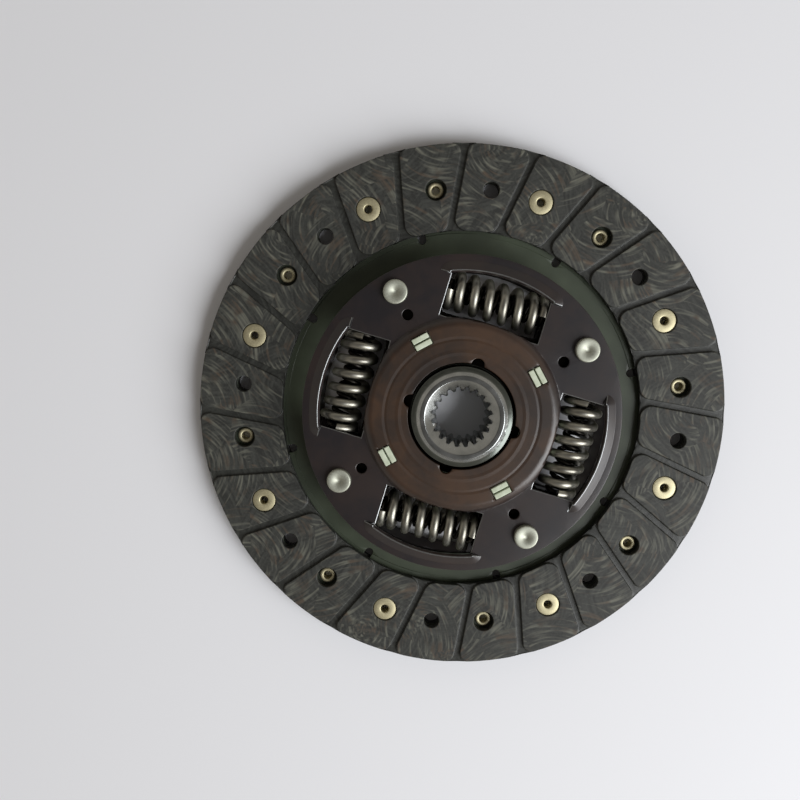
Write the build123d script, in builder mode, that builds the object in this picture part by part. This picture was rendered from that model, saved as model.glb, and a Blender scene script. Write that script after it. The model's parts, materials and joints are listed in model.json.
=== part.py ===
from build123d import *
import math
import os

# A clutch disc with a sprung hub. Sizes are in millimetres and angles in degrees.
# The hub's axis is +Z, and the origin is the centre of the rear facing's face, on which the
# disc rests. Two spring windows are centred on the X axis and two on the Y axis.

# Friction facings
disc_radius = 100.0
facing_inner_radius = 68.3
facing_thickness = 3.4
pad_count = 24
groove_width = 2.4
groove_depth = 1.1
groove_offset = 17.1
groove_angle = 6.2
pad_outer_corner = 3.4
pad_inner_corner = 4.2
rear_facing_turn = 19.5

# Cushion plate, which carries both facings
cushion_thickness = 0.8
cushion_wave = 0.35
cushion_inner_radius = 56.8
cushion_ring_radius = 67.5
cushion_rim_gap = 1.6
paddle_count = 8
paddle_slot_angle = 29.6
paddle_slot_width = 3.0
paddle_slot_root = 66.5
pin_lobe_radius = 8.0

# Facing rivets: hollow, with a flat head in one facing and a rolled tail in the other
rivet_circle_radius = 83.7
front_rivet_angle = 41.4
rear_rivet_angle = 23.5
tool_hole_angle = 9.4
tool_hole_radius = 3.0
rivet_head_radius = 4.5
rivet_head_thickness = 1.0
rivet_head_recess = 0.4
rivet_shank_radius = 2.6
rivet_bore_radius = 1.55
rivet_tail_radius = 3.1
rivet_tail_length = 1.3
rivet_clearance = 0.15
rivet_tail_hole_radius = 3.9
rivet_hole_clearance = 0.05
rivet_seat_gap = 0.03

# Front and rear steel plates
plate_thickness = 1.8
plate_bend_radius = 2.4
plate_bore_radius = 19.9
bore_notch_radius = 2.4
front_dome_rise = 2.2
rear_dome_rise = 1.0
dome_radius = 34.0
dome_foot_radius = 36.0
pilot_hole_circle = 42.35
pilot_hole_radius = 2.0

# Spring windows, and the lip raised along each one's outer edge
window_half_length = 18.8
window_inner_edge = 35.3
window_inner_corner = 33.4
window_inner_curve = 70.0
window_outer_radius = 52.6
front_lip_rise = 2.3
rear_lip_rise = 1.3
lip_run = 3.8
lip_bend_radius = 2.2
lip_seam = 1.5
lip_corner_turn = 70.0
front_rim_land = 3.0
rear_rim_land = 1.4

# Stop pins, which hold the plates together and stop the hub's flange
pin_circle_radius = 51.9
pin_angle = 45.0
pin_shank_radius = 3.0
pin_shoulder_radius = 4.4
pin_shoulder_length = 11.3
pin_head_radius = 4.5
front_head_height = 2.2
rear_head_height = 1.4
pin_head_edge = 0.6

# Hub
hub_rear_gap = 0.25
hub_barrel_radius = 18.7
hub_nose_height = 5.65
hub_shoulder_radius = 16.8
hub_shoulder_height = 0.9
hub_rim_radius = 15.5
hub_rim_height = 1.3
hub_countersink_radius = 13.8
hub_countersink_depth = 3.8
hub_edge = 1.0
spline_teeth = 20
spline_major_radius = 11.1
spline_minor_radius = 9.4
spline_flank_angle = 20.0
spline_angle = 6.8

# Hub flange
flange_thickness = 6.0
flange_gap = 0.3
flange_radius = 51.4
flange_pocket_edge = 34.5
flange_corner = 2.0
hub_travel = 8.0
stop_clearance = 0.4

# Damper springs, one nested inside the other
spring_circle_radius = 43.0
spring_end_gap = 0.1
outer_wire = 3.4
outer_coil_radius = 6.3
outer_turns = 8.0
outer_end_pitch = 3.9
inner_wire = 1.9
inner_coil_radius = 3.25
inner_turns = 12.0
inner_end_pitch = 2.3

# Friction washers
washer_inner_radius = 22.8
washer_side_gap = 1.3
tab_circle_radius = 31.3
tab_length = 6.4
tab_width = 4.5
tab_split = 0.6
tab_height = 2.7
tab_slot_clearance = 0.3
rear_washer_thickness = 1.5
thrust_plate_thickness = 1.0
thrust_tab_thickness = 1.6
thrust_tab_height = 0.5
cone_spring_thickness = 0.7
cone_spring_outer_radius = 30.2

# Radii, and levels above the rear facing's face, worked out from the sizes above
lip_foot_radius = window_outer_radius + lip_run
front_plate_radius = lip_foot_radius + front_rim_land
rear_plate_radius = lip_foot_radius + rear_rim_land
cushion_half = cushion_thickness / 2
facing_seat = cushion_half + cushion_wave
mid_level = facing_seat + facing_thickness
rear_seat = mid_level - cushion_half
pin_seat = mid_level + cushion_half
front_seat = pin_seat + pin_shoulder_length
spring_level = (front_seat + rear_seat) / 2
flange_top = spring_level + flange_thickness / 2
flange_bottom = spring_level - flange_thickness / 2
hub_top = front_seat + plate_thickness + hub_nose_height
window_end_angle = math.degrees(math.asin(window_half_length / window_outer_radius))
pin_places = [pin_angle + 90 * quarter for quarter in range(4)]


def point_at(radius, angle):
    """A point of the disc's plan, by its radius and its angle from +X."""
    return (radius * math.cos(math.radians(angle)), radius * math.sin(math.radians(angle)))


def section_plane(level, side):
    """A plane through the axis for a turned section: its x is the radius, its y rises to side."""
    return Plane(origin=(0, 0, level), x_dir=(1, 0, 0), z_dir=(0, -side, 0))


def facing(side):
    """One friction ring, with its face towards side: +1 is up and -1 is down."""
    turn = 0.0
    if side < 0:
        turn = rear_facing_turn
    seat = Plane(
        origin=(0, 0, mid_level + side * facing_seat),
        x_dir=(*point_at(1, turn), 0),
        z_dir=(0, 0, side),
    )
    head_angle = front_rivet_angle
    tail_angle = rear_rivet_angle
    if side < 0:
        head_angle, tail_angle = rear_rivet_angle, front_rivet_angle
    head_depth = rivet_head_recess + rivet_head_thickness
    with BuildPart() as ring:
        with BuildSketch(seat):
            Circle(disc_radius)
            Circle(facing_inner_radius, mode=Mode.SUBTRACT)
        extrude(amount=facing_thickness - groove_depth)
        with BuildSketch(seat.offset(facing_thickness - groove_depth)) as pads:
            Circle(disc_radius)
            Circle(facing_inner_radius, mode=Mode.SUBTRACT)
            with PolarLocations(0, pad_count, start_angle=groove_angle):
                with Locations((disc_radius, groove_offset)):
                    Rectangle(disc_radius, groove_width, mode=Mode.SUBTRACT)
            fillet(pads.vertices().group_by(lambda v: round(v.X**2 + v.Y**2))[-1], pad_outer_corner)
            fillet(pads.vertices().group_by(lambda v: round(v.X**2 + v.Y**2))[0], pad_inner_corner)
        extrude(amount=groove_depth)
        with BuildSketch(Plane.XY.offset(mid_level)):
            for angle, radius in (
                (head_angle, rivet_shank_radius + rivet_hole_clearance),
                (tail_angle, rivet_tail_hole_radius),
                (tool_hole_angle, tool_hole_radius),
            ):
                with PolarLocations(rivet_circle_radius, paddle_count, start_angle=angle):
                    Circle(radius)
        extrude(amount=side * 2 * facing_thickness, mode=Mode.SUBTRACT)
        with BuildSketch(Plane.XY.offset(mid_level + side * (facing_seat + facing_thickness))):
            with PolarLocations(rivet_circle_radius, paddle_count, start_angle=head_angle):
                Circle(rivet_head_radius + rivet_clearance)
        extrude(amount=-side * head_depth, mode=Mode.SUBTRACT)
    return ring.part


def facing_rivets(side):
    """The eight hollow rivets that hold the facing on side to the cushion plate."""
    angle = front_rivet_angle
    if side < 0:
        angle = rear_rivet_angle
    head_top = facing_seat + facing_thickness - rivet_head_recess
    head_bottom = head_top - rivet_head_thickness
    tail_top = cushion_wave - cushion_half - rivet_seat_gap
    tail_edge = rivet_tail_length / 2
    with BuildPart() as rivet:
        with BuildSketch(section_plane(mid_level, side)):
            with BuildLine():
                Polyline(
                    (rivet_bore_radius, head_top),
                    (rivet_head_radius, head_top),
                    (rivet_head_radius, head_bottom),
                    (rivet_shank_radius, head_bottom),
                    (rivet_shank_radius, tail_top),
                    (rivet_tail_radius, tail_top),
                    (rivet_tail_radius, tail_top - tail_edge),
                )
                RadiusArc(
                    (rivet_tail_radius, tail_top - tail_edge),
                    (rivet_bore_radius, tail_top - rivet_tail_length),
                    rivet_tail_radius - rivet_bore_radius + rivet_seat_gap,
                )
                Line(
                    (rivet_bore_radius, tail_top - rivet_tail_length),
                    (rivet_bore_radius, head_top),
                )
            make_face()
        revolve(axis=Axis.Z)
    with BuildPart() as rivets:
        with PolarLocations(rivet_circle_radius, paddle_count, start_angle=angle):
            add(rivet.part)
    return rivets.part


def cushion_paddle():
    """One pressed paddle of the cushion plate, centred on the +X axis.

    It bends up to the front facing at one rivet and down to the rear facing at the next.
    """
    half_pitch = 180 / paddle_count
    centre_angle = paddle_slot_angle + half_pitch
    crest = rivet_circle_radius * math.sin(math.radians(front_rivet_angle - centre_angle))
    trough_angle = rear_rivet_angle + 360 / paddle_count - centre_angle
    trough = rivet_circle_radius * math.sin(math.radians(trough_angle))
    outer_radius = disc_radius - cushion_rim_gap
    half_width = outer_radius * math.sin(math.radians(half_pitch))
    half_flat = rivet_head_radius + rivet_clearance
    wave = (
        (-half_width, 0),
        (crest - half_flat, cushion_wave),
        (crest + half_flat, cushion_wave),
        (trough - half_flat, -cushion_wave),
        (trough + half_flat, -cushion_wave),
        (half_width, 0),
    )
    lower = [(x, height - cushion_half) for x, height in wave]
    upper = [(x, height + cushion_half) for x, height in wave]
    with BuildPart() as paddle:
        with BuildSketch(Plane(origin=(0, 0, mid_level), x_dir=(0, 1, 0), z_dir=(1, 0, 0))):
            with BuildLine():
                Polyline(*lower, *reversed(upper), close=True)
            make_face()
        extrude(amount=outer_radius)
        with BuildSketch(Plane.XY.offset(mid_level)):
            with BuildLine():
                Line((0, 0), point_at(outer_radius, -half_pitch))
                CenterArc((0, 0), outer_radius, -half_pitch, 2 * half_pitch)
                Line(point_at(outer_radius, half_pitch), (0, 0))
            make_face()
            Circle(paddle_slot_root, mode=Mode.SUBTRACT)
        extrude(amount=cushion_thickness + cushion_wave, both=True, mode=Mode.INTERSECT)
    return paddle.part


def pressed_plate(seat_level, side, outer_radius, dome_rise, lip_rise):
    """A pressed steel plate that bulges to side, with a raised centre and four lipped windows."""
    section = section_plane(seat_level, side)
    seat = Plane(origin=(0, 0, seat_level), x_dir=(1, 0, 0), z_dir=(0, 0, side))
    with BuildPart() as half_lip:
        with BuildSketch(section) as lip_section:
            with BuildLine():
                FilletPolyline(
                    (window_outer_radius, lip_rise),
                    (lip_foot_radius, 0),
                    (lip_foot_radius + lip_seam, 0),
                    radius=lip_bend_radius,
                )
                offset(amount=plate_thickness, side=Side.LEFT)
            make_face()
        revolve(axis=Axis.Z, revolution_arc=window_end_angle)
        corner_axis = Axis((window_outer_radius, 0, 0), (0, 0, -1))
        revolve(lip_section.sketch, axis=corner_axis, revolution_arc=lip_corner_turn)
    with BuildPart() as plate:
        with BuildSketch(section):
            with BuildLine():
                FilletPolyline(
                    (plate_bore_radius, dome_rise),
                    (dome_radius, dome_rise),
                    (dome_foot_radius, 0),
                    (outer_radius, 0),
                    radius=plate_bend_radius,
                )
                offset(amount=plate_thickness, side=Side.LEFT)
            make_face()
        revolve(axis=Axis.Z)
        with BuildSketch(seat) as windows:
            with BuildSketch(mode=Mode.PRIVATE) as window:
                with Locations((window_inner_corner, 0)):
                    Rectangle(
                        outer_radius,
                        2 * window_half_length,
                        align=(Align.MIN, Align.CENTER),
                    )
                Circle(lip_foot_radius, mode=Mode.INTERSECT)
                with Locations((window_inner_edge - window_inner_curve, 0)):
                    Circle(window_inner_curve, mode=Mode.SUBTRACT)
            with PolarLocations(0, 4):
                add(window.sketch)
        extrude(amount=dome_rise + plate_thickness, mode=Mode.SUBTRACT)
        with PolarLocations(0, 4, start_angle=-window_end_angle):
            add(half_lip.part)
        with PolarLocations(0, 4, start_angle=window_end_angle):
            add(half_lip.part.mirror(Plane.XZ))
        with BuildSketch(seat):
            with PolarLocations(plate_bore_radius, 4):
                Circle(bore_notch_radius)
            with PolarLocations(pilot_hole_circle, 4, start_angle=pin_angle):
                Circle(pilot_hole_radius)
            with PolarLocations(pin_circle_radius, 4, start_angle=pin_angle):
                Circle(pin_shank_radius)
            with PolarLocations(tab_circle_radius, 4, start_angle=pin_angle):
                Rectangle(tab_width + tab_slot_clearance, tab_length + 2 * tab_slot_clearance)
        extrude(amount=dome_rise + plate_thickness, mode=Mode.SUBTRACT)
    return plate.part


def stop_pin(angle):
    """A shouldered pin, riveted over both plates."""
    front_face = front_seat + plate_thickness
    rear_face = rear_seat - plate_thickness
    with BuildPart() as pin:
        with Locations((*point_at(pin_circle_radius, angle), 0)):
            for radius, low, high in (
                (pin_head_radius, front_face, front_face + front_head_height),
                (pin_shank_radius, front_seat, front_face),
                (pin_shoulder_radius, pin_seat, front_seat),
                (pin_shank_radius, rear_face, pin_seat),
                (pin_head_radius, rear_face - rear_head_height, rear_face),
            ):
                with Locations((0, 0, low)):
                    Cylinder(radius, high - low, align=(Align.CENTER, Align.CENTER, Align.MIN))
        ends = pin.edges().filter_by(GeomType.CIRCLE).group_by(Axis.Z)
        fillet(ends[0] + ends[-1], pin_head_edge)
    return pin.part


def coil_spring(coil_radius, wire, turns, end_pitch, hand):
    """A coil spring with closed, ground ends, lying across the +X axis in its window."""
    length = 2 * (window_half_length - spring_end_gap)
    lift = length - wire / 2
    open_pitch = (lift - 2 * end_pitch) / (turns - 2)
    steps_per_turn = 12
    path_points = []
    for step in range(int(turns * steps_per_turn) + 1):
        turned = step / steps_per_turn
        if turned < 1:
            height = end_pitch * turned
        elif turned > turns - 1:
            height = lift - end_pitch * (turns - turned)
        else:
            height = end_pitch + open_pitch * (turned - 1)
        angle = hand * 360 * turned
        path_points.append((*point_at(coil_radius, angle), height - lift / 2))
    with BuildPart() as spring:
        with BuildLine() as path:
            Spline(*path_points)
        with BuildSketch(Plane(origin=path.line @ 0, z_dir=path.line % 0)):
            Circle(wire / 2)
        sweep(is_frenet=True)
        Box(4 * coil_radius, 4 * coil_radius, length, mode=Mode.INTERSECT)
    seat = Plane(
        origin=(spring_circle_radius, 0, spring_level),
        x_dir=(0, 0, 1),
        z_dir=(0, 1, 0),
    )
    return seat * spring.part


def keep(solid, name):
    """Labels a finished piece and writes its file."""
    solid.label = name
    export_step(solid, f"parts/{name}.step")


os.makedirs("parts", exist_ok=True)

keep(facing(1), "front_facing")
keep(facing(-1), "rear_facing")
keep(facing_rivets(1), "facing_rivets_front")
keep(facing_rivets(-1), "facing_rivets_rear")

# The cushion plate: a flat ring with eight waved paddles and a lobe round each stop pin.
paddle_solid = cushion_paddle()
with BuildPart() as cushion_plate:
    with BuildSketch(Plane.XY.offset(mid_level - cushion_half)):
        Circle(cushion_ring_radius)
        Circle(cushion_inner_radius, mode=Mode.SUBTRACT)
        with PolarLocations(pin_circle_radius, 4, start_angle=pin_angle):
            Circle(pin_lobe_radius)
    extrude(amount=cushion_thickness)
    with PolarLocations(0, paddle_count, start_angle=paddle_slot_angle + 180 / paddle_count):
        add(paddle_solid)
    with BuildSketch(Plane.XY.offset(mid_level)):
        with PolarLocations(0, paddle_count, start_angle=paddle_slot_angle):
            with Locations((paddle_slot_root, 0)):
                Circle(paddle_slot_width / 2)
                Rectangle(
                    disc_radius,
                    paddle_slot_width,
                    align=(Align.MIN, Align.CENTER),
                )
        for angle, radius in (
            (front_rivet_angle, rivet_shank_radius),
            (rear_rivet_angle, rivet_shank_radius),
            (tool_hole_angle, tool_hole_radius),
        ):
            with PolarLocations(rivet_circle_radius, paddle_count, start_angle=angle):
                Circle(radius)
        with PolarLocations(pin_circle_radius, 4, start_angle=pin_angle):
            Circle(pin_shank_radius)
    extrude(amount=facing_seat, both=True, mode=Mode.SUBTRACT)
keep(cushion_plate.part, "cushion_plate")

front_plate = pressed_plate(front_seat, 1, front_plate_radius, front_dome_rise, front_lip_rise)
keep(front_plate, "front_plate")
rear_plate = pressed_plate(rear_seat, -1, rear_plate_radius, rear_dome_rise, rear_lip_rise)
keep(rear_plate, "rear_plate")
for number, angle in enumerate(pin_places, start=1):
    keep(stop_pin(angle), f"stop_pin_{number}")

# The hub: a turned barrel and flange, cut with spring pockets, stop notches and a spline.
spline_depth = spline_major_radius - spline_minor_radius
spline_pitch = math.pi * (spline_major_radius + spline_minor_radius) / spline_teeth
spline_taper = 2 * spline_depth * math.tan(math.radians(spline_flank_angle))
spline_low = spline_minor_radius - spline_depth / 2
spline_high = spline_major_radius + spline_depth / 2
with BuildSketch() as spline_space:
    with BuildLine():
        Polyline(
            (spline_low, (spline_pitch / 2 + spline_taper) / 2),
            (spline_high, (spline_pitch / 2 - spline_taper) / 2),
            (spline_high, -(spline_pitch / 2 - spline_taper) / 2),
            (spline_low, -(spline_pitch / 2 + spline_taper) / 2),
            close=True,
        )
    make_face()
with BuildPart() as splined_hub:
    with BuildSketch(Plane.XZ):
        with BuildLine():
            Polyline(
                (spline_minor_radius, hub_rear_gap + hub_countersink_depth),
                (hub_countersink_radius, hub_rear_gap),
                (hub_barrel_radius - hub_edge, hub_rear_gap),
                (hub_barrel_radius, hub_rear_gap + hub_edge),
                (hub_barrel_radius, flange_bottom),
                (flange_radius, flange_bottom),
                (flange_radius, flange_top),
                (hub_barrel_radius, flange_top),
                (hub_barrel_radius, hub_top - hub_rim_height - hub_shoulder_height),
                (hub_shoulder_radius, hub_top - hub_rim_height),
                (hub_rim_radius, hub_top),
                (hub_countersink_radius, hub_top),
                (spline_minor_radius, hub_top - hub_countersink_depth),
                close=True,
            )
        make_face()
    revolve(axis=Axis.Z)
    with BuildSketch(Plane.XY.offset(flange_bottom)) as pockets:
        with PolarLocations(0, 4):
            with Locations((flange_pocket_edge, 0)):
                Rectangle(
                    flange_radius,
                    2 * window_half_length,
                    align=(Align.MIN, Align.CENTER),
                )
        fillet(pockets.vertices().group_by(lambda v: round(v.X**2 + v.Y**2))[0], flange_corner)
    extrude(amount=flange_thickness, mode=Mode.SUBTRACT)
    with BuildSketch(Plane.XY.offset(flange_bottom)):
        for pin_place in pin_places:
            for swing in (-hub_travel, hub_travel):
                with Locations(point_at(pin_circle_radius, pin_place + swing)):
                    Circle(pin_shoulder_radius + stop_clearance)
            with BuildLine():
                start = pin_place - hub_travel
                low = pin_circle_radius - pin_shoulder_radius - stop_clearance
                CenterArc((0, 0), low, start, 2 * hub_travel)
                CenterArc((0, 0), disc_radius, start, 2 * hub_travel)
                Line(point_at(low, start), point_at(disc_radius, start))
                Line(
                    point_at(low, start + 2 * hub_travel),
                    point_at(disc_radius, start + 2 * hub_travel),
                )
            make_face()
    extrude(amount=flange_thickness, mode=Mode.SUBTRACT)
    with BuildSketch():
        with PolarLocations(0, spline_teeth, start_angle=spline_angle):
            add(spline_space.sketch)
        Circle(spline_major_radius, mode=Mode.INTERSECT)
    extrude(amount=hub_top, mode=Mode.SUBTRACT)
keep(splined_hub.part, "splined_hub")

# Nested damper springs, wound opposite ways so that their coils can't catch.
outer_solid = coil_spring(outer_coil_radius, outer_wire, outer_turns, outer_end_pitch, 1)
inner_solid = coil_spring(inner_coil_radius, inner_wire, inner_turns, inner_end_pitch, -1)
for number in range(4):
    keep(outer_solid.rotate(Axis.Z, 90 * number), f"outer_spring_{number + 1}")
    keep(inner_solid.rotate(Axis.Z, 90 * number), f"inner_spring_{number + 1}")

# The moulded friction washer under the front plate, with four split tabs through its slots.
washer_outer_radius = dome_radius - washer_side_gap
with BuildPart() as front_friction_washer:
    with BuildSketch(Plane.XY.offset(flange_top + flange_gap)):
        Circle(washer_outer_radius)
        Circle(washer_inner_radius, mode=Mode.SUBTRACT)
    extrude(amount=front_seat + front_dome_rise - flange_top - flange_gap)
    with BuildSketch(Plane.XY.offset(front_seat)):
        with PolarLocations(tab_circle_radius, 4, start_angle=pin_angle):
            Rectangle(tab_width, tab_length)
    extrude(amount=front_dome_rise)
    with BuildSketch(Plane.XY.offset(front_seat + front_dome_rise)):
        with PolarLocations(tab_circle_radius, 4, start_angle=pin_angle):
            Rectangle(tab_width, tab_length)
            Rectangle(tab_split, tab_length, mode=Mode.SUBTRACT)
    extrude(amount=tab_height)
keep(front_friction_washer.part, "front_friction_washer")

# Behind the flange: a friction washer, a steel thrust plate and a cone spring that loads them.
rear_dome_level = rear_seat - rear_dome_rise
rear_washer_top = flange_bottom - flange_gap
thrust_plate_top = rear_washer_top - rear_washer_thickness
cone_spring_top = thrust_plate_top - thrust_plate_thickness
with BuildPart() as rear_friction_washer:
    with BuildSketch(Plane.XY.offset(rear_washer_top)):
        Circle(washer_outer_radius)
        Circle(washer_inner_radius, mode=Mode.SUBTRACT)
    extrude(amount=-rear_washer_thickness)
keep(rear_friction_washer.part, "rear_friction_washer")

with BuildPart() as thrust_plate:
    with BuildSketch(Plane.XY.offset(thrust_plate_top)):
        Circle(washer_outer_radius)
        Circle(washer_inner_radius, mode=Mode.SUBTRACT)
    extrude(amount=-thrust_plate_thickness)
    with BuildSketch(Plane.XY.offset(cone_spring_top)):
        with PolarLocations(tab_circle_radius, 4, start_angle=pin_angle):
            Rectangle(thrust_tab_thickness, tab_length)
    extrude(amount=-(cone_spring_top - rear_dome_level + plate_thickness + thrust_tab_height))
keep(thrust_plate.part, "thrust_plate")

with BuildPart() as cone_spring_washer:
    with BuildSketch(Plane.XZ):
        with BuildLine():
            Polyline(
                (washer_inner_radius, cone_spring_top),
                (washer_inner_radius, cone_spring_top - cone_spring_thickness),
                (cone_spring_outer_radius, rear_dome_level),
                (cone_spring_outer_radius, rear_dome_level + cone_spring_thickness),
                close=True,
            )
        make_face()
    revolve(axis=Axis.Z)
keep(cone_spring_washer.part, "cone_spring_washer")
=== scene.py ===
"""Dresses a clutch disc: moulded linings, oxidised plates, turned hub, springs and studio."""

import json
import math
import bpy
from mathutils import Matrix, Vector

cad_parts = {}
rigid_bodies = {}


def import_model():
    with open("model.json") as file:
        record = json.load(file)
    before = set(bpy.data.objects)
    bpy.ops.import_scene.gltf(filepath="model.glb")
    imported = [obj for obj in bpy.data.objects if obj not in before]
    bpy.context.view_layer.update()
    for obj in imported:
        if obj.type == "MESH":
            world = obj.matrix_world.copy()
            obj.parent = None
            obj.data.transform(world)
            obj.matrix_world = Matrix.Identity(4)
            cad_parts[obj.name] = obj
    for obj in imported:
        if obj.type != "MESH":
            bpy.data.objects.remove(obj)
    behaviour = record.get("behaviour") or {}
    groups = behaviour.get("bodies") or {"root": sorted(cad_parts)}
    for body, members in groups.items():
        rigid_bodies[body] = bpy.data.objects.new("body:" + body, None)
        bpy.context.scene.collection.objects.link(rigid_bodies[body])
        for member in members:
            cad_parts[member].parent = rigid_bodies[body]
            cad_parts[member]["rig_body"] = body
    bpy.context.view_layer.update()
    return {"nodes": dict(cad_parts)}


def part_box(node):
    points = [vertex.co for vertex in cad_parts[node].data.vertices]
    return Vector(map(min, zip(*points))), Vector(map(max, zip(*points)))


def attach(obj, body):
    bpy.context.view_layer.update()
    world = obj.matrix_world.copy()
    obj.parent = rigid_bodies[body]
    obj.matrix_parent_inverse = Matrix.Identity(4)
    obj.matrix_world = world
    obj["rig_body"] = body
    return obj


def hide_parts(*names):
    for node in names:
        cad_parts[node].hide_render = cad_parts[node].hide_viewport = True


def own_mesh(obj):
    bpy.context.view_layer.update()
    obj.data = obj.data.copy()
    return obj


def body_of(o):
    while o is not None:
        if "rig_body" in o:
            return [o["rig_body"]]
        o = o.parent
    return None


bl_info = {
    "name": "Clutch Disc Finishes",
    "version": (1, 0, 0),
    "blender": (4, 5, 0),
    "location": "3D View > Sidebar > Clutch Disc",
    "description": "Finishes and stages a clutch disc around its CAD frame",
    "category": "Object",
}

import bmesh
import bpy
from mathutils import Matrix, Vector

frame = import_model()
MM = 0.001
NODES = frame["nodes"]

# Heights and radii of the CAD pieces, in metres
PAD_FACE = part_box("front_facing")[1][2]
DISC_MIDDLE = (PAD_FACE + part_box("rear_facing")[0][2]) / 2
PIN_BOTTOM, PIN_TOP = (corner[2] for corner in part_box("stop_pin_1"))

# Facing rivets: their circle, and the angles of the first front and rear one
RIVET_CIRCLE = 83.7 * MM
FRONT_RIVET_ANGLE = 41.4
REAR_RIVET_ANGLE = 23.5

# Stop pins and damper springs
PIN_CIRCLE = 51.9 * MM
SPRING_REACH = 43.45 * MM
SPRING_LENGTH = 37.4 * MM
SPRING_HEIGHT = (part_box("outer_spring_1")[0][2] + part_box("outer_spring_1")[1][2]) / 2
# Steps along the wire in each turn of a spring
SPRING_STEPS_PER_TURN = 26
# Coil radius, wire, turns, end pitch, hand and sides round the wire
OUTER_COIL = (6.3 * MM, 3.2 * MM, 7, 3.9 * MM, 1, 16)
INNER_COIL = (3.25 * MM, 1.9 * MM, 12, 2.3 * MM, -1, 10)


def linear(hex_colour):
    """A linear colour with full alpha from an sRGB hex colour such as #40362f."""
    channels = [int(hex_colour[place : place + 2], 16) / 255 for place in (1, 3, 5)]
    low = [value / 12.92 for value in channels]
    high = [((value + 0.055) / 1.055) ** 2.4 for value in channels]
    picked = [h if value > 0.04045 else l for value, l, h in zip(channels, low, high)]
    return (*picked, 1.0)


def add(tree, kind, settings=None, inputs=None):
    """Adds a node, sets its properties, and fills or links its input sockets."""
    node = tree.nodes.new(kind)
    for name, value in (settings or {}).items():
        setattr(node, name, value)
    for socket, value in (inputs or {}).items():
        if isinstance(value, bpy.types.NodeSocket):
            tree.links.new(value, node.inputs[socket])
        else:
            node.inputs[socket].default_value = value
    return node


def new_material(name):
    """An empty node material with a principled shader, and its tree and shader."""
    material = bpy.data.materials.new(name)
    material.use_nodes = True
    tree = material.node_tree
    return material, tree, tree.nodes["Principled BSDF"]


def ramp(tree, factor, stops):
    """Adds a colour ramp through the stops, each a place from 0 to 1 and a colour."""
    node = add(tree, "ShaderNodeValToRGB", inputs={0: factor})
    elements = node.color_ramp.elements
    while len(elements) < len(stops):
        elements.new(0.5)
    for element, (place, colour) in zip(elements, stops):
        element.position = place
        element.color = colour
    return node.outputs["Color"]


def shaded(value, gain):
    """A colour with its brightness multiplied by gain."""
    return (*(channel * gain for channel in value[:3]), 1.0)


def finish_mesh(sheet, name):
    """Turns a bmesh into a smooth-shaded mesh of that name."""
    for face in sheet.faces:
        face.smooth = True
    mesh = bpy.data.meshes.new(name)
    sheet.to_mesh(mesh)
    sheet.free()
    return mesh


def stand_in(mesh, name, node, material):
    """Puts a mesh in place of a CAD node: it gets the material and rides the node's body, and the node is
    hidden.
    """
    mesh.materials.append(material)
    piece = bpy.data.objects.new(name, mesh)
    bpy.context.scene.collection.objects.link(piece)
    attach(piece, body_of(NODES[node])[0])
    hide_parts(node)
    return piece


def rounded(node, name, edge, material, sharp=35, edge_highlight=None):
    """A copy of a CAD node with its facets joined and its sharp edges rounded by edge metres.

    Edges that turn by more than sharp degrees are rounded. The last argument, if given, is a
    material for the rounded edges round the spring windows, a painted highlight there.
    """
    sheet = bmesh.new()
    sheet.from_mesh(NODES[node].data)
    bmesh.ops.remove_doubles(sheet, verts=sheet.verts, dist=0.002 * MM)
    bmesh.ops.recalc_face_normals(sheet, faces=sheet.faces)
    bmesh.ops.dissolve_limit(
        sheet, angle_limit=math.radians(1), verts=sheet.verts, edges=sheet.edges
    )
    bmesh.ops.triangulate(sheet, faces=sheet.faces, quad_method="BEAUTY", ngon_method="BEAUTY")
    corners = [
        line
        for line in sheet.edges
        if line.is_manifold and line.calc_face_angle() > math.radians(sharp)
    ]
    bmesh.ops.bevel(
        sheet,
        geom=corners,
        offset=edge,
        offset_type="OFFSET",
        segments=2,
        profile=0.5,
        affect="EDGES",
        material=1 if edge_highlight else -1,
    )
    mesh = finish_mesh(sheet, name)
    mesh.set_sharp_from_angle(angle=math.radians(50))
    piece = stand_in(mesh, name, node, material)
    if edge_highlight:
        # Painted highlight: rounded faces round the spring windows take the second, pale material.
        mesh.materials.append(edge_highlight)
        for face in mesh.polygons:
            reach = face.center.xy.length
            bearing = math.degrees(math.atan2(face.center.y, face.center.x)) % 90
            in_window = 23 * MM < reach < 58 * MM and min(bearing, 90 - bearing) < 31
            if not in_window:
                face.material_index = 0
    weights = piece.modifiers.new("even_shading", "WEIGHTED_NORMAL")
    weights.keep_sharp = True
    return piece


def turned(profile, steps, centres):
    """A bmesh of turned pieces: profile is (radius, height) points, spun at each centre.

    A profile that starts on the axis also ends there, and any other one closes on itself.
    """
    sheet = bmesh.new()
    for x, y in centres:
        points = [sheet.verts.new((x + radius, y, height)) for radius, height in profile]
        loop = points + points[:1] if profile[0][0] else points
        lines = [sheet.edges.new(pair) for pair in zip(loop, loop[1:])]
        bmesh.ops.spin(
            sheet,
            geom=points + lines,
            cent=(x, y, 0),
            axis=(0, 0, 1),
            angle=math.tau,
            steps=steps,
            use_merge=True,
            use_duplicate=False,
        )
    bmesh.ops.remove_doubles(sheet, verts=sheet.verts, dist=0.001 * MM)
    bmesh.ops.recalc_face_normals(sheet, faces=sheet.faces)
    return sheet


def on_circle(radius, first_angle, count):
    """Points evenly spaced on a circle round the axis, from an angle in degrees."""
    angles = [math.radians(first_angle + 360 * place / count) for place in range(count)]
    return [(radius * math.cos(angle), radius * math.sin(angle)) for angle in angles]


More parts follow.
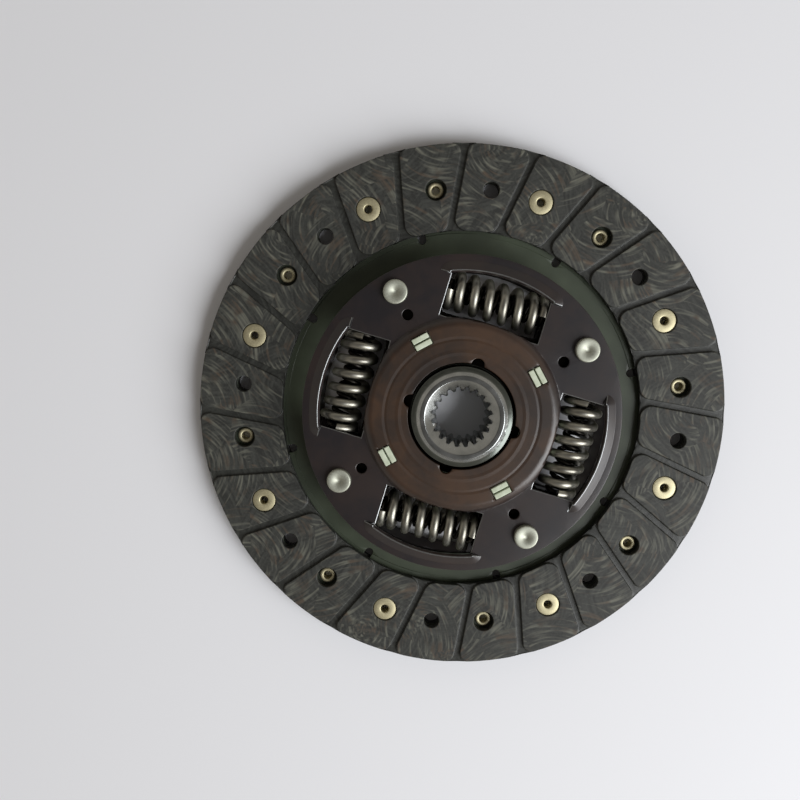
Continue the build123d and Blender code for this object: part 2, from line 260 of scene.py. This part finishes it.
class ClutchDiscSettings(bpy.types.PropertyGroup):
    """Colours and sizes of the clutch disc's finishes."""

    lining_colour: bpy.props.FloatVectorProperty(
        name="Lining",
        description="Resin and rubber body of the friction lining",
        subtype="COLOR",
        size=4,
        default=linear("#2c2d2a"),
    )
    yarn_colour: bpy.props.FloatVectorProperty(
        name="Yarn",
        description="Glass yarn that shows at the ground face of the lining",
        subtype="COLOR",
        size=4,
        default=linear("#6f6f64"),
    )
    wire_colour: bpy.props.FloatVectorProperty(
        name="Wire",
        description="Brass wire spun into the yarn",
        subtype="COLOR",
        size=4,
        default=linear("#54473a"),
    )
    yarn_pitch: bpy.props.FloatProperty(
        name="Yarn pitch",
        description="Distance between neighbouring yarns",
        subtype="DISTANCE",
        default=1.15 * MM,
    )
    patch_size: bpy.props.FloatProperty(
        name="Patch size",
        description="Size of the patches in which the yarns bend one way",
        subtype="DISTANCE",
        default=19 * MM,
    )
    plate_colour: bpy.props.FloatVectorProperty(
        name="Plate",
        description="Oxide on the flat of the steel plates",
        subtype="COLOR",
        size=4,
        default=linear("#1e191a"),
    )
    dome_colour: bpy.props.FloatVectorProperty(
        name="Dome",
        description="Oxide on the raised centre of the steel plates",
        subtype="COLOR",
        size=4,
        default=linear("#34271c"),
    )
    cushion_colour: bpy.props.FloatVectorProperty(
        name="Cushion plate",
        description="Olive oxide on the cushion plate",
        subtype="COLOR",
        size=4,
        default=linear("#3b4333"),
    )
    rivet_colour: bpy.props.FloatVectorProperty(
        name="Rivets",
        description="Pale plating of the facing rivets",
        subtype="COLOR",
        size=4,
        default=linear("#c6be9e"),
    )
    floor_colour: bpy.props.FloatVectorProperty(
        name="Floor",
        description="Paint of the studio floor",
        subtype="COLOR",
        size=4,
        default=linear("#e3e4e8"),
    )
    lens: bpy.props.FloatProperty(
        name="Lens",
        description="Focal length on a 36 mm sensor, in millimetres",
        default=38.7,
    )


def settings():
    """The clutch disc's settings on the current scene."""
    return bpy.context.scene.clutch_disc


def polar_place(tree):
    """Adds nodes for a point's place on the disc: its vector, height and radius."""
    place = add(tree, "ShaderNodeTexCoord").outputs["Object"]
    parts = add(tree, "ShaderNodeSeparateXYZ", inputs={0: place})
    flat = add(tree, "ShaderNodeCombineXYZ", inputs={0: parts.outputs["X"], 1: parts.outputs["Y"]})
    radius = add(tree, "ShaderNodeVectorMath", {"operation": "LENGTH"}, {0: flat.outputs[0]})
    return flat.outputs[0], parts.outputs["Z"], radius.outputs["Value"]


def streaks(tree, flat, layer):
    """Short curved streaks about a millimetre wide, in patches that each bend their own way."""
    shift = (layer * 0.31, layer * 0.17, 0)
    moved = add(tree, "ShaderNodeVectorMath", {"operation": "ADD"}, {0: flat, 1: shift})
    patch = add(
        tree,
        "ShaderNodeTexVoronoi",
        {"voronoi_dimensions": "2D"},
        {"Vector": moved.outputs[0], "Scale": 1 / (settings().patch_size)},
    )
    reach = 24 * MM
    lean = add(
        tree,
        "ShaderNodeVectorMath",
        {"operation": "MULTIPLY_ADD"},
        {0: patch.outputs["Color"], 1: (2 * reach, 2 * reach, 0), 2: (-reach, -reach, 0)},
    )
    bend_centre = add(
        tree, "ShaderNodeVectorMath", {"operation": "ADD"}, {0: patch.outputs["Position"], 1: lean.outputs[0]}
    )
    arm = add(
        tree,
        "ShaderNodeVectorMath",
        {"operation": "SUBTRACT"},
        {0: moved.outputs[0], 1: bend_centre.outputs[0]},
    )
    parts = add(tree, "ShaderNodeSeparateXYZ", inputs={0: arm.outputs[0]})
    bearing = add(
        tree, "ShaderNodeMath", {"operation": "ARCTAN2"}, {0: parts.outputs["Y"], 1: parts.outputs["X"]}
    )
    distance = add(tree, "ShaderNodeVectorMath", {"operation": "LENGTH"}, {0: arm.outputs[0]})
    across = add(
        tree,
        "ShaderNodeMath",
        {"operation": "DIVIDE"},
        {0: distance.outputs["Value"], 1: settings().yarn_pitch},
    )
    along = add(tree, "ShaderNodeMath", {"operation": "MULTIPLY"}, {0: bearing.outputs[0], 1: 1.7})
    strand = add(
        tree,
        "ShaderNodeCombineXYZ",
        inputs={0: across.outputs[0], 1: along.outputs[0], 2: layer * 5.0},
    )
    noise = add(
        tree,
        "ShaderNodeTexNoise",
        inputs={"Vector": strand.outputs[0], "Scale": 1.0, "Detail": 1.5, "Roughness": 0.45},
    )
    return noise.outputs["Fac"]


def lining_material():
    """Moulded organic lining: dark resin over glass and brass yarns wound in loops.

    The ground face cuts the yarns, so they show there as soft, short, curved streaks.
    """
    values = settings()
    material, tree, shader = new_material("moulded_friction_lining")
    flat, height, radius = polar_place(tree)
    place = add(tree, "ShaderNodeTexCoord").outputs["Object"]
    layers = [streaks(tree, flat, layer) for layer in (1, 2)]
    patch = add(tree, "ShaderNodeTexNoise", inputs={"Vector": flat, "Scale": 1 / (11 * MM), "Detail": 2.0})
    patch_gain = add(
        tree,
        "ShaderNodeMapRange",
        inputs={
            "Value": patch.outputs["Fac"],
            "From Min": 0.35,
            "From Max": 0.65,
            "To Min": -0.07,
            "To Max": 0.05,
        },
    )
    shown = add(tree, "ShaderNodeMath", {"operation": "ADD"}, {0: layers[0], 1: patch_gain.outputs[0]})
    streak = add(
        tree,
        "ShaderNodeMapRange",
        inputs={"Value": shown.outputs[0], "From Min": 0.48, "From Max": 0.84},
    )
    kind = add(tree, "ShaderNodeTexNoise", inputs={"Vector": flat, "Scale": 1 / (6 * MM), "Detail": 1.0})
    yarn = ramp(
        tree,
        kind.outputs["Fac"],
        ((0.4, tuple(values.wire_colour)), (0.52, tuple(values.yarn_colour))),
    )
    grit = add(tree, "ShaderNodeTexNoise", inputs={"Vector": place, "Scale": 1 / (0.9 * MM), "Detail": 3.0})
    grain = add(tree, "ShaderNodeMath", {"operation": "MULTIPLY"}, {0: grit.outputs["Fac"], 1: 0.35})
    mottle = add(
        tree,
        "ShaderNodeMath",
        {"operation": "MULTIPLY_ADD"},
        {0: layers[1], 1: 0.65, 2: grain.outputs[0]},
    )
    body = ramp(
        tree,
        mottle.outputs[0],
        ((0.38, shaded(values.lining_colour, 0.7)), (0.66, shaded(values.lining_colour, 1.75))),
    )
    face_reach = add(tree, "ShaderNodeMath", {"operation": "SUBTRACT"}, {0: height, 1: DISC_MIDDLE})
    face_reach = add(tree, "ShaderNodeMath", {"operation": "ABSOLUTE"}, {0: face_reach.outputs[0]})
    on_face = add(
        tree,
        "ShaderNodeMapRange",
        inputs={
            "Value": face_reach.outputs[0],
            "From Min": PAD_FACE - DISC_MIDDLE - 0.5 * MM,
            "From Max": PAD_FACE - DISC_MIDDLE - 0.1 * MM,
        },
    )
    amount = add(
        tree,
        "ShaderNodeMath",
        {"operation": "MULTIPLY"},
        {0: streak.outputs[0], 1: on_face.outputs[0]},
    )
    colour = add(
        tree,
        "ShaderNodeMix",
        {"data_type": "RGBA"},
        {0: amount.outputs[0], 6: body, 7: yarn},
    )
    tree.links.new(colour.outputs[2], shader.inputs["Base Color"])
    gloss = add(
        tree,
        "ShaderNodeMapRange",
        inputs={"Value": on_face.outputs[0], "To Min": 0.4, "To Max": 0.6},
    )
    tree.links.new(gloss.outputs[0], shader.inputs["Roughness"])
    shader.inputs["Specular IOR Level"].default_value = 0.4
    relief = add(
        tree,
        "ShaderNodeMath",
        {"operation": "MULTIPLY_ADD"},
        {0: amount.outputs[0], 1: 0.6, 2: mottle.outputs[0]},
    )
    bump = add(
        tree,
        "ShaderNodeBump",
        inputs={"Height": relief.outputs[0], "Strength": 0.4, "Distance": 0.12 * MM},
    )
    tree.links.new(bump.outputs[0], shader.inputs["Normal"])
    return material


def oxide_material(name, colours, patch_size, roughness):
    """Blued or oxidised steel sheet: dark and satin, with soft clouds of colour.

    colours are a dark and a pale one, and patch_size is the clouds' size.
    """
    material, tree, shader = new_material(name)
    place = add(tree, "ShaderNodeTexCoord").outputs["Object"]
    cloud = add(tree, "ShaderNodeTexNoise", inputs={"Vector": place, "Scale": 1 / patch_size, "Detail": 4.0})
    tint = ramp(tree, cloud.outputs["Fac"], ((0.35, colours[0]), (0.65, colours[1])))
    tree.links.new(tint, shader.inputs["Base Color"])
    fine = add(tree, "ShaderNodeTexNoise", inputs={"Vector": place, "Scale": 1 / (0.8 * MM), "Detail": 2.0})
    gloss = add(
        tree,
        "ShaderNodeMapRange",
        inputs={"Value": cloud.outputs["Fac"], "To Min": roughness - 0.08, "To Max": roughness + 0.08},
    )
    tree.links.new(gloss.outputs[0], shader.inputs["Roughness"])
    bump = add(
        tree,
        "ShaderNodeBump",
        inputs={"Height": fine.outputs["Fac"], "Strength": 0.2, "Distance": 0.03 * MM},
    )
    tree.links.new(bump.outputs[0], shader.inputs["Normal"])
    return material


def plate_material(name, gain):
    """Steam-oxidised pressed steel: plum-black on the flat and browner on the raised centre.

    Two shallow rings are pressed round the raised centre. gain scales both colours;
    a gain below 1 is painted shade over the whole plate.
    """
    values = settings()
    material, tree, shader = new_material(name)
    flat, height, radius = polar_place(tree)
    place = add(tree, "ShaderNodeTexCoord").outputs["Object"]
    cloud = add(tree, "ShaderNodeTexNoise", inputs={"Vector": place, "Scale": 1 / (22 * MM), "Detail": 4.0})
    reach = add(
        tree,
        "ShaderNodeMath",
        {"operation": "MULTIPLY_ADD"},
        {0: cloud.outputs["Fac"], 1: 3 * MM, 2: radius},
    )
    zone = add(
        tree,
        "ShaderNodeMapRange",
        inputs={"Value": reach.outputs[0], "From Min": 34.5 * MM, "From Max": 38.5 * MM},
    )
    tint = add(
        tree,
        "ShaderNodeMix",
        {"data_type": "RGBA"},
        {0: zone.outputs[0], 6: shaded(values.dome_colour, gain), 7: shaded(values.plate_colour, gain)},
    )
    smear = add(
        tree,
        "ShaderNodeTexNoise",
        inputs={"Vector": place, "Scale": 1 / (7 * MM), "Detail": 5.0, "Roughness": 0.65, "Distortion": 0.6},
    )
    blotch = add(
        tree,
        "ShaderNodeMath",
        {"operation": "MULTIPLY_ADD"},
        {0: smear.outputs["Fac"], 1: 0.6, 2: cloud.outputs["Fac"]},
    )
    shade = ramp(tree, blotch.outputs[0], ((0.62, (0.62, 0.64, 0.78, 1)), (0.98, (1.55, 1.3, 1.1, 1))))
    colour = add(
        tree,
        "ShaderNodeMix",
        {"data_type": "RGBA", "blend_type": "MULTIPLY"},
        {0: 1.0, 6: tint.outputs[2], 7: shade},
    )
    tree.links.new(colour.outputs[2], shader.inputs["Base Color"])
    shader.inputs["Roughness"].default_value = 0.36
    shader.inputs["Specular IOR Level"].default_value = 0.6
    fine = add(tree, "ShaderNodeTexNoise", inputs={"Vector": place, "Scale": 1 / (0.7 * MM), "Detail": 2.0})
    ring_place = add(
        tree, "ShaderNodeMapRange", inputs={"Value": radius, "From Min": 20 * MM, "From Max": 40 * MM}
    )
    pressed = ramp(
        tree,
        ring_place.outputs[0],
        (
            (0.12, (0.5, 0.5, 0.5, 1)),
            (0.18, (0.9, 0.9, 0.9, 1)),
            (0.24, (0.5, 0.5, 0.5, 1)),
            (0.39, (0.5, 0.5, 0.5, 1)),
            (0.43, (0.0, 0.0, 0.0, 1)),
            (0.48, (0.5, 0.5, 0.5, 1)),
        ),
    )
    relief = add(
        tree, "ShaderNodeMath", {"operation": "MULTIPLY_ADD"}, {0: fine.outputs["Fac"], 1: 0.05, 2: pressed}
    )
    bump = add(
        tree,
        "ShaderNodeBump",
        inputs={"Height": relief.outputs[0], "Strength": 0.6, "Distance": 0.35 * MM},
    )
    tree.links.new(bump.outputs[0], shader.inputs["Normal"])
    return material


def metal_material(name, colour, roughness, grain=0.6 * MM, metallic=1.0):
    """Bare or plated metal with a fine grain in its gloss."""
    material, tree, shader = new_material(name)
    place = add(tree, "ShaderNodeTexCoord").outputs["Object"]
    fine = add(tree, "ShaderNodeTexNoise", inputs={"Vector": place, "Scale": 1 / grain, "Detail": 3.0})
    dark = tuple(channel * 0.82 for channel in colour[:3]) + (1.0,)
    tint = ramp(tree, fine.outputs["Fac"], ((0.3, dark), (0.7, colour)))
    tree.links.new(tint, shader.inputs["Base Color"])
    gloss = add(
        tree,
        "ShaderNodeMapRange",
        inputs={"Value": fine.outputs["Fac"], "To Min": roughness - 0.07, "To Max": roughness + 0.07},
    )
    tree.links.new(gloss.outputs[0], shader.inputs["Roughness"])
    shader.inputs["Metallic"].default_value = metallic
    bump = add(
        tree,
        "ShaderNodeBump",
        inputs={"Height": fine.outputs["Fac"], "Strength": 0.2, "Distance": 0.03 * MM},
    )
    tree.links.new(bump.outputs[0], shader.inputs["Normal"])
    return material


def hub_material():
    """Turned steel: fine rings round the axis on its ends and barrel, a darker grey shoulder from 16.9 mm
    out, and painted shade making the flange near black beyond 19.2 mm.
    """
    material, tree, shader = new_material("turned_hub_steel")
    flat, height, radius = polar_place(tree)
    place = add(tree, "ShaderNodeTexCoord").outputs["Object"]
    rings = add(tree, "ShaderNodeCombineXYZ", inputs={0: radius, 1: height})
    cut = add(
        tree,
        "ShaderNodeTexNoise",
        inputs={"Vector": rings.outputs[0], "Scale": 1 / (0.35 * MM), "Detail": 3.0, "Roughness": 0.6},
    )
    cloud = add(tree, "ShaderNodeTexNoise", inputs={"Vector": place, "Scale": 1 / (5 * MM), "Detail": 3.0})
    tint = ramp(
        tree,
        cloud.outputs["Fac"],
        ((0.3, linear("#8b8e8d")), (0.7, linear("#a2a4a3"))),
    )
    shaded_flange = add(
        tree, "ShaderNodeMapRange", inputs={"Value": radius, "From Min": 18.9 * MM, "From Max": 19.2 * MM}
    )
    step = add(
        tree, "ShaderNodeMapRange", inputs={"Value": radius, "From Min": 16.6 * MM, "From Max": 16.9 * MM}
    )
    shoulder = add(
        tree,
        "ShaderNodeMix",
        {"data_type": "RGBA"},
        {0: step.outputs[0], 6: tint, 7: linear("#575b57")},
    )
    # Painted shade: the flange beyond 19.2 mm, inside the disc between the plates, is near black so the gaps
    # between the spring coils look dark.
    colour = add(
        tree,
        "ShaderNodeMix",
        {"data_type": "RGBA"},
        {0: shaded_flange.outputs[0], 6: shoulder.outputs[2], 7: linear("#1d1b19")},
    )
    tree.links.new(colour.outputs[2], shader.inputs["Base Color"])
    shader.inputs["Metallic"].default_value = 1.0
    gloss = add(
        tree,
        "ShaderNodeMapRange",
        inputs={"Value": cloud.outputs["Fac"], "To Min": 0.22, "To Max": 0.3},
    )
    tree.links.new(gloss.outputs[0], shader.inputs["Roughness"])
    bump = add(
        tree,
        "ShaderNodeBump",
        inputs={"Height": cut.outputs["Fac"], "Strength": 0.35, "Distance": 0.04 * MM},
    )
    tree.links.new(bump.outputs[0], shader.inputs["Normal"])
    return material


def wire_material(name, dark, pale):
    """Oil-tempered, shot-peened spring wire between two tones, a dark and a pale one, in soft clouds."""
    material, tree, shader = new_material(name)
    place = add(tree, "ShaderNodeTexCoord").outputs["Object"]
    fine = add(tree, "ShaderNodeTexNoise", inputs={"Vector": place, "Scale": 1 / (0.5 * MM), "Detail": 3.0})
    cloud = add(tree, "ShaderNodeTexNoise", inputs={"Vector": place, "Scale": 1 / (6 * MM), "Detail": 2.0})
    tint = ramp(tree, cloud.outputs["Fac"], ((0.35, dark), (0.65, pale)))
    tree.links.new(tint, shader.inputs["Base Color"])
    shader.inputs["Metallic"].default_value = 1.0
    gloss = add(
        tree,
        "ShaderNodeMapRange",
        inputs={"Value": cloud.outputs["Fac"], "To Min": 0.34, "To Max": 0.48},
    )
    tree.links.new(gloss.outputs[0], shader.inputs["Roughness"])
    bump = add(
        tree,
        "ShaderNodeBump",
        inputs={"Height": fine.outputs["Fac"], "Strength": 0.25, "Distance": 0.03 * MM},
    )
    tree.links.new(bump.outputs[0], shader.inputs["Normal"])
    return material


def nylon_material():
    """Glass-filled nylon, moulded: pale green-white and waxy."""
    material, tree, shader = new_material("moulded_pale_nylon")
    place = add(tree, "ShaderNodeTexCoord").outputs["Object"]
    cloud = add(tree, "ShaderNodeTexNoise", inputs={"Vector": place, "Scale": 1 / (2 * MM), "Detail": 3.0})
    tint = ramp(tree, cloud.outputs["Fac"], ((0.3, linear("#b4bda6")), (0.7, linear("#ccd4c0"))))
    tree.links.new(tint, shader.inputs["Base Color"])
    shader.inputs["Roughness"].default_value = 0.45
    return material


class CLUTCHDISC_OT_linings(bpy.types.Operator):
    """Make both friction facings, with rounded pads and grooves"""

    bl_idname = "clutch_disc.linings"
    bl_label = "Linings"

    def execute(self, context):
        lining = lining_material()
        rounded("front_facing", "front_lining", 0.35 * MM, lining)
        rounded("rear_facing", "rear_lining", 0.35 * MM, lining)
        return {"FINISHED"}


class CLUTCHDISC_OT_rivets(bpy.types.Operator):
    """Turn the hollow facing rivets: a flat head one end and a rolled tail at the other"""

    bl_idname = "clutch_disc.rivets"
    bl_label = "Facing rivets"

    def execute(self, context):
        metal = metal_material("pale_plated_rivet", tuple(settings().rivet_colour), 0.55)
        head = (
            (1.55, -0.6), (1.55, 3.3), (1.62, 3.58), (1.8, 3.72), (2.05, 3.75), (4.2, 3.75), (4.42, 3.66),
            (4.5, 3.45), (4.5, 2.75), (2.6, 2.75), (2.6, -0.08),
        )
        tail = (
            (3.0, -0.08), (3.1, -0.4), (3.08, -0.85), (2.88, -1.17),
            (2.5, -1.3), (1.95, -1.28), (1.68, -1.15), (1.56, -0.95),
        )
        profile = head + tail
        for side, angle, node in (
            (1, FRONT_RIVET_ANGLE, "facing_rivets_front"),
            (-1, REAR_RIVET_ANGLE, "facing_rivets_rear"),
        ):
            placed = [(radius * MM, DISC_MIDDLE + side * height * MM) for radius, height in profile]
            sheet = turned(placed, 28, on_circle(RIVET_CIRCLE, angle, 8))
            stand_in(finish_mesh(sheet, node + "_turned"), node + "_turned", node, metal)
        return {"FINISHED"}


class CLUTCHDISC_OT_pins(bpy.types.Operator):
    """Turn the four shouldered stop pins, with a punched dimple in each head"""

    bl_idname = "clutch_disc.pins"
    bl_label = "Stop pins"

    def execute(self, context):
        metal = metal_material("zinc_plated_pin", linear("#b5b7aa"), 0.58)
        top = PIN_TOP / MM
        bottom = PIN_BOTTOM / MM
        front_seat = top - 4.0
        rear_top = bottom + 3.2
        profile = (
            (0.0, bottom + 0.05), (3.6, bottom), (4.25, bottom + 0.25),
            (4.5, bottom + 0.7), (4.5, bottom + 1.4),
            (3.0, bottom + 1.4), (3.0, rear_top + 0.8), (4.4, rear_top + 0.8), (4.4, front_seat),
            (3.0, front_seat), (3.0, front_seat + 1.8), (4.5, front_seat + 1.8), (4.5, top - 0.6),
            (4.4, top - 0.2), (4.2, top - 0.05), (3.9, top), (1.2, top),
            (1.0, top - 0.3), (0.0, top - 0.3),
        )
        placed = [(radius * MM, height * MM) for radius, height in profile]
        for number, centre in enumerate(on_circle(PIN_CIRCLE, 45, 4), start=1):
            name = f"turned_pin_{number}"
            stand_in(finish_mesh(turned(placed, 36, [centre]), name), name, f"stop_pin_{number}", metal)
        return {"FINISHED"}


class CLUTCHDISC_OT_plates(bpy.types.Operator):
    """Make the cushion plate and the two pressed steel plates"""

    bl_idname = "clutch_disc.plates"
    bl_label = "Plates"

    def execute(self, context):
        steel = plate_material("oxidised_pressed_steel", 1.0)
        # Painted shade: the rear plate is the same steel at under half brightness, so the spring windows look
        # dark inside.
        shade_darkened_steel = plate_material("shade_darkened_oxidised_steel", 0.45)
        # Painted highlight: pale steel on the rounded window edges of the front plate, standing in for light
        # caught there.
        window_edge_highlight_steel = metal_material("painted_highlight_edge_steel", linear("#8d8f90"), 0.34)
        rounded("front_plate", "front_pressing", 0.32 * MM, steel, 62, window_edge_highlight_steel)
        rounded("rear_plate", "rear_pressing", 0.24 * MM, shade_darkened_steel, 62)
        olive = tuple(settings().cushion_colour)
        sheet = oxide_material("olive_oxide_sheet", (shaded(olive, 0.7), olive), 14 * MM, 0.45)
        rounded("cushion_plate", "cushion_sheet", 0.12 * MM, sheet, 60)
        return {"FINISHED"}


class CLUTCHDISC_OT_hub(bpy.types.Operator):
    """Make the splined hub, with its edges eased"""

    bl_idname = "clutch_disc.hub"
    bl_label = "Hub"

    def execute(self, context):
        rounded("splined_hub", "turned_hub", 0.2 * MM, hub_material(), 28)
        return {"FINISHED"}


class CLUTCHDISC_OT_springs(bpy.types.Operator):
    """Wind the nested damper springs"""

    bl_idname = "clutch_disc.springs"
    bl_label = "Damper springs"

    def wind(self, coil, wire, turns, end_pitch, hand, sides):
        """A bmesh of one spring with closed, ground ends, across the +X axis."""
        steps = int(turns * SPRING_STEPS_PER_TURN)
        lift = SPRING_LENGTH - wire / 2
        open_pitch = (lift - 2 * end_pitch) / (turns - 2)
        sheet = bmesh.new()
        rings = []
        for step in range(steps + 1):
            turned_by = turns * step / steps
            bearing = hand * math.tau * turned_by
            if turned_by < 1:
                rise = end_pitch * turned_by
            elif turned_by > turns - 1:
                rise = lift - end_pitch * (turns - turned_by)
            else:
                rise = end_pitch + open_pitch * (turned_by - 1)
            ring = []
            for side in range(sides):
                around = math.tau * side / sides
                arm = coil + wire / 2 * math.cos(around)
                level = rise - lift / 2 + wire / 2 * math.sin(around)
                level = max(-SPRING_LENGTH / 2, min(SPRING_LENGTH / 2, level))
                out = SPRING_REACH + arm * math.sin(bearing)
                up = SPRING_HEIGHT + arm * math.cos(bearing)
                corner = (out, level, up)
                ring.append(sheet.verts.new(corner))
            rings.append(ring)
        for low, high in zip(rings, rings[1:]):
            for side in range(sides):
                after = (side + 1) % sides
                sheet.faces.new((low[side], low[after], high[after], high[side]))
        sheet.faces.new(rings[0])
        sheet.faces.new(rings[-1])
        bmesh.ops.recalc_face_normals(sheet, faces=sheet.faces)
        return sheet

    def execute(self, context):
        outer_wire = wire_material("oil_tempered_wire", linear("#827f76"), linear("#a9a79c"))
        # Painted shade: the inner springs get near-black wire so they look dark inside the outer coils.
        shade_darkened_wire = wire_material("shade_darkened_inner_wire", linear("#1c1a18"), linear("#3a3733"))
        for number in range(1, 5):
            quarter = math.radians(90 * (number - 1))
            spin = Matrix.Rotation(quarter, 4, "Z")
            for layer, metal, shape in (
                ("outer", outer_wire, OUTER_COIL),
                ("inner", shade_darkened_wire, INNER_COIL),
            ):
                sheet = self.wind(*shape)
                bmesh.ops.transform(sheet, matrix=spin, verts=sheet.verts)
                name = f"{layer}_coil_{number}"
                node = f"{layer}_spring_{number}"
                mesh = finish_mesh(sheet, name)
                mesh.set_sharp_from_angle(angle=math.radians(50))
                piece = stand_in(mesh, name, node, metal)
                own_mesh(piece)
        return {"FINISHED"}


class CLUTCHDISC_OT_washers(bpy.types.Operator):
    """Make the friction washers, thrust plate and cone spring"""

    bl_idname = "clutch_disc.washers"
    bl_label = "Washers"

    def execute(self, context):
        nylon = nylon_material()
        rounded("front_friction_washer", "front_nylon_washer", 0.25 * MM, nylon)
        rounded("rear_friction_washer", "rear_nylon_washer", 0.2 * MM, nylon)
        steel = metal_material("rolled_washer_steel", linear("#6a6a68"), 0.4)
        rounded("thrust_plate", "thrust_disc", 0.15 * MM, steel)
        rounded("cone_spring_washer", "cone_spring", 0.15 * MM, steel)
        return {"FINISHED"}


class CLUTCHDISC_OT_stage(bpy.types.Operator):
    """Lay the floor, set the lamps and place the camera"""

    bl_idname = "clutch_disc.stage"
    bl_label = "Stage"

    def execute(self, context):
        values = settings()
        scene = context.scene
        scene.view_settings.view_transform = "Standard"

        floor_mesh = bpy.data.meshes.new("studio_floor")
        sheet = bmesh.new()
        bmesh.ops.create_grid(sheet, x_segments=1, y_segments=1, size=4.0)
        sheet.to_mesh(floor_mesh)
        sheet.free()
        floor = bpy.data.objects.new("studio_floor", floor_mesh)
        scene.collection.objects.link(floor)
        paint, tree, shader = new_material("white_floor_paint")
        shader.inputs["Base Color"].default_value = values.floor_colour
        shader.inputs["Roughness"].default_value = 0.75
        floor_mesh.materials.append(paint)

        world = bpy.data.worlds.new("studio_world")
        scene.world = world
        world.use_nodes = True
        background = world.node_tree.nodes["Background"]
        sky = add(world.node_tree, "ShaderNodeTexCoord").outputs["Generated"]
        height = add(world.node_tree, "ShaderNodeSeparateXYZ", inputs={0: sky}).outputs["Z"]
        walls = ramp(world.node_tree, height, ((0.25, (0.55, 0.51, 0.45, 1)), (0.85, (0.12, 0.11, 0.1, 1))))
        world.node_tree.links.new(walls, background.inputs["Color"])

        turn = Matrix.Rotation(math.radians(16.77), 3, "Z")
        lamp_data = bpy.data.lights.new("window_light", "AREA")
        lamp_data.shape = "RECTANGLE"
        lamp_data.size = 1.0
        lamp_data.size_y = 1.4
        lamp_data.energy = 33
        lamp_data.color = (0.965, 0.98, 1.0)
        lamp = bpy.data.objects.new("window_light", lamp_data)
        lamp.location = turn @ Vector((1.05, -0.65, 0.95))
        aim = Vector((0, 0, 0)) - lamp.location
        lamp.rotation_euler = aim.to_track_quat("-Z", "Y").to_euler()
        scene.collection.objects.link(lamp)

        camera_data = bpy.data.cameras.new("studio_camera")
        camera_data.lens = values.lens
        camera_data.clip_start = 0.01
        camera = bpy.data.objects.new("studio_camera", camera_data)
        lean = Matrix.Rotation(0.02461, 3, "Y") @ Matrix.Rotation(-0.12604, 3, "X")
        place = turn @ Vector((-15.06, 45.94, 334.02)) * MM
        camera.matrix_world = Matrix.Translation(place) @ (turn @ lean).to_4x4()
        scene.collection.objects.link(camera)
        scene.camera = camera
        return {"FINISHED"}


OPERATORS = (
    CLUTCHDISC_OT_linings,
    CLUTCHDISC_OT_rivets,
    CLUTCHDISC_OT_pins,
    CLUTCHDISC_OT_plates,
    CLUTCHDISC_OT_hub,
    CLUTCHDISC_OT_springs,
    CLUTCHDISC_OT_washers,
    CLUTCHDISC_OT_stage,
)


class CLUTCHDISC_PT_panel(bpy.types.Panel):
    """Lists the clutch disc's operators"""

    bl_label = "Clutch Disc"
    bl_idname = "CLUTCHDISC_PT_panel"
    bl_space_type = "VIEW_3D"
    bl_region_type = "UI"
    bl_category = "Clutch Disc"

    def draw(self, context):
        for operator in OPERATORS:
            self.layout.operator(operator.bl_idname)


CLASSES = (ClutchDiscSettings, *OPERATORS, CLUTCHDISC_PT_panel)


def register():
    for item in CLASSES:
        bpy.utils.register_class(item)
    bpy.types.Scene.clutch_disc = bpy.props.PointerProperty(type=ClutchDiscSettings)


def unregister():
    del bpy.types.Scene.clutch_disc
    for item in reversed(CLASSES):
        bpy.utils.unregister_class(item)


def main():
    register()
    for operator in OPERATORS:
        group, name = operator.bl_idname.split(".")
        getattr(getattr(bpy.ops, group), name)()


if __name__ == "__main__":
    main()
